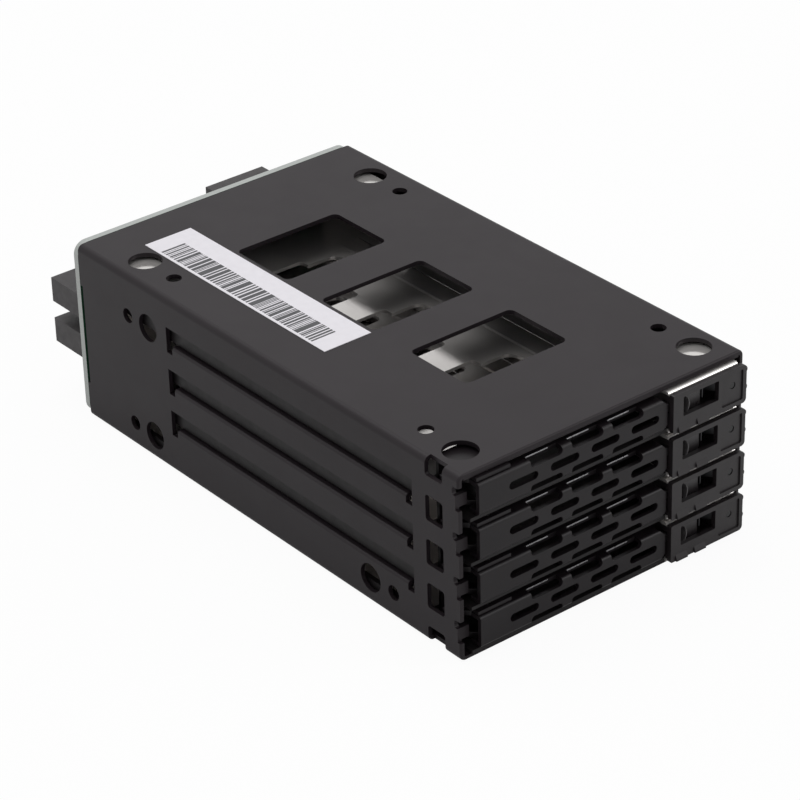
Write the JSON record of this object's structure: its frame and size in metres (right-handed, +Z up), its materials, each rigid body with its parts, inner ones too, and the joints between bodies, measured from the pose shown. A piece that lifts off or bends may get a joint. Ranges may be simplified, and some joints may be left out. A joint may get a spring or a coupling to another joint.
{
  "type": "hot swap drive cage",
  "caption": "Folded sheet cage of sliding drive trays, each with a perforated cam lever and a latch button, and a backplane with power and data headers at the rear.",
  "frame": {"origin": "centre of the base's screw pattern, on the outside of the base", "axes": "+X across to the latch side, +Y into the cage towards the backplane, +Z up"},
  "size_m": [0.0778, 0.1496, 0.0441],
  "materials": {
    "black_coat": "satin black powder coat",
    "lever_coat": "satin black powder coat",
    "tray_metal": "bright zinc plate",
    "pin_steel": "plain steel",
    "screw_zinc": "zinc plate",
    "board": "solder resist on glass-fibre board",
    "connector_black": "moulded, matte",
    "contact": "tinned",
    "label_paper": "matte",
    "latch_plastic": "moulded, fine grain",
    "button_plastic": "moulded, satin",
    "clear_plastic": "clear polycarbonate"
  },
  "bodies": {
    "cage": {"cage_top": "black_coat", "cage_base": "black_coat", "cage_left_side": "black_coat", "cage_right_side": "black_coat", "backplane_board": "board", "backplane_screws": "screw_zinc", "power_header_lower": "connector_black", "power_header_upper": "connector_black", "power_pins": "contact", "asset_label": "label_paper", "drive_receptacle_1": "connector_black", "drive_receptacle_2": "connector_black", "drive_receptacle_3": "connector_black", "drive_receptacle_4": "connector_black", "data_header_1": "connector_black", "data_header_2": "connector_black", "data_header_3": "connector_black", "data_header_4": "connector_black"},
    "tray_1": {"tray_1_sled": "tray_metal", "tray_1_hinge_bracket": "lever_coat", "tray_1_lever_pin": "pin_steel", "tray_1_latch_housing": "latch_plastic", "tray_1_button_spring": "pin_steel", "tray_1_light_pipe": "clear_plastic"},
    "lever_1": {"tray_1_lever": "lever_coat"},
    "button_1": {"tray_1_release_button": "button_plastic"},
    "tray_2": {"tray_2_sled": "tray_metal", "tray_2_hinge_bracket": "lever_coat", "tray_2_lever_pin": "pin_steel", "tray_2_latch_housing": "latch_plastic", "tray_2_button_spring": "pin_steel", "tray_2_light_pipe": "clear_plastic"},
    "lever_2": {"tray_2_lever": "lever_coat"},
    "button_2": {"tray_2_release_button": "button_plastic"},
    "tray_3": {"tray_3_sled": "tray_metal", "tray_3_hinge_bracket": "lever_coat", "tray_3_lever_pin": "pin_steel", "tray_3_latch_housing": "latch_plastic", "tray_3_button_spring": "pin_steel", "tray_3_light_pipe": "clear_plastic"},
    "lever_3": {"tray_3_lever": "lever_coat"},
    "button_3": {"tray_3_release_button": "button_plastic"},
    "tray_4": {"tray_4_sled": "tray_metal", "tray_4_hinge_bracket": "lever_coat", "tray_4_lever_pin": "pin_steel", "tray_4_latch_housing": "latch_plastic", "tray_4_button_spring": "pin_steel", "tray_4_light_pipe": "clear_plastic"},
    "lever_4": {"tray_4_lever": "lever_coat"},
    "button_4": {"tray_4_release_button": "button_plastic"}
  },
  "joints": [
    {"name": "tray_1_slide", "type": "slide", "parent": "cage", "child": "tray_1", "axis": [0, -1, 0], "range_m": [0, 0.12]},
    {"name": "tray_1_lever_hinge", "type": "hinge", "parent": "tray_1", "child": "lever_1", "pos_m": [-0.0309, -0.0607, 0.0376], "axis": [0, 0, -1], "range_deg": [0, 70]},
    {"name": "tray_1_button_slide", "type": "slide", "parent": "tray_1", "child": "button_1", "axis": [1, 0, 0], "range_m": [0, 0.0026], "stiffness_N_per_m": 300, "springref_m": -0.001, "deforming": ["tray_1_button_spring"]},
    {"name": "tray_2_slide", "type": "slide", "parent": "cage", "child": "tray_2", "axis": [0, -1, 0], "range_m": [0, 0.12]},
    {"name": "tray_2_lever_hinge", "type": "hinge", "parent": "tray_2", "child": "lever_2", "pos_m": [-0.0309, -0.0607, 0.0271], "axis": [0, 0, -1], "range_deg": [0, 70]},
    {"name": "tray_2_button_slide", "type": "slide", "parent": "tray_2", "child": "button_2", "axis": [1, 0, 0], "range_m": [0, 0.0026], "stiffness_N_per_m": 300, "springref_m": -0.001, "deforming": ["tray_2_button_spring"]},
    {"name": "tray_3_slide", "type": "slide", "parent": "cage", "child": "tray_3", "axis": [0, -1, 0], "range_m": [0, 0.12]},
    {"name": "tray_3_lever_hinge", "type": "hinge", "parent": "tray_3", "child": "lever_3", "pos_m": [-0.0309, -0.0607, 0.0166], "axis": [0, 0, -1], "range_deg": [0, 70]},
    {"name": "tray_3_button_slide", "type": "slide", "parent": "tray_3", "child": "button_3", "axis": [1, 0, 0], "range_m": [0, 0.0026], "stiffness_N_per_m": 300, "springref_m": -0.001, "deforming": ["tray_3_button_spring"]},
    {"name": "tray_4_slide", "type": "slide", "parent": "cage", "child": "tray_4", "axis": [0, -1, 0], "range_m": [0, 0.12]},
    {"name": "tray_4_lever_hinge", "type": "hinge", "parent": "tray_4", "child": "lever_4", "pos_m": [-0.0309, -0.0607, 0.0061], "axis": [0, 0, -1], "range_deg": [0, 70]},
    {"name": "tray_4_button_slide", "type": "slide", "parent": "tray_4", "child": "button_4", "axis": [1, 0, 0], "range_m": [0, 0.0026], "stiffness_N_per_m": 300, "springref_m": -0.001, "deforming": ["tray_4_button_spring"]}
  ]
}
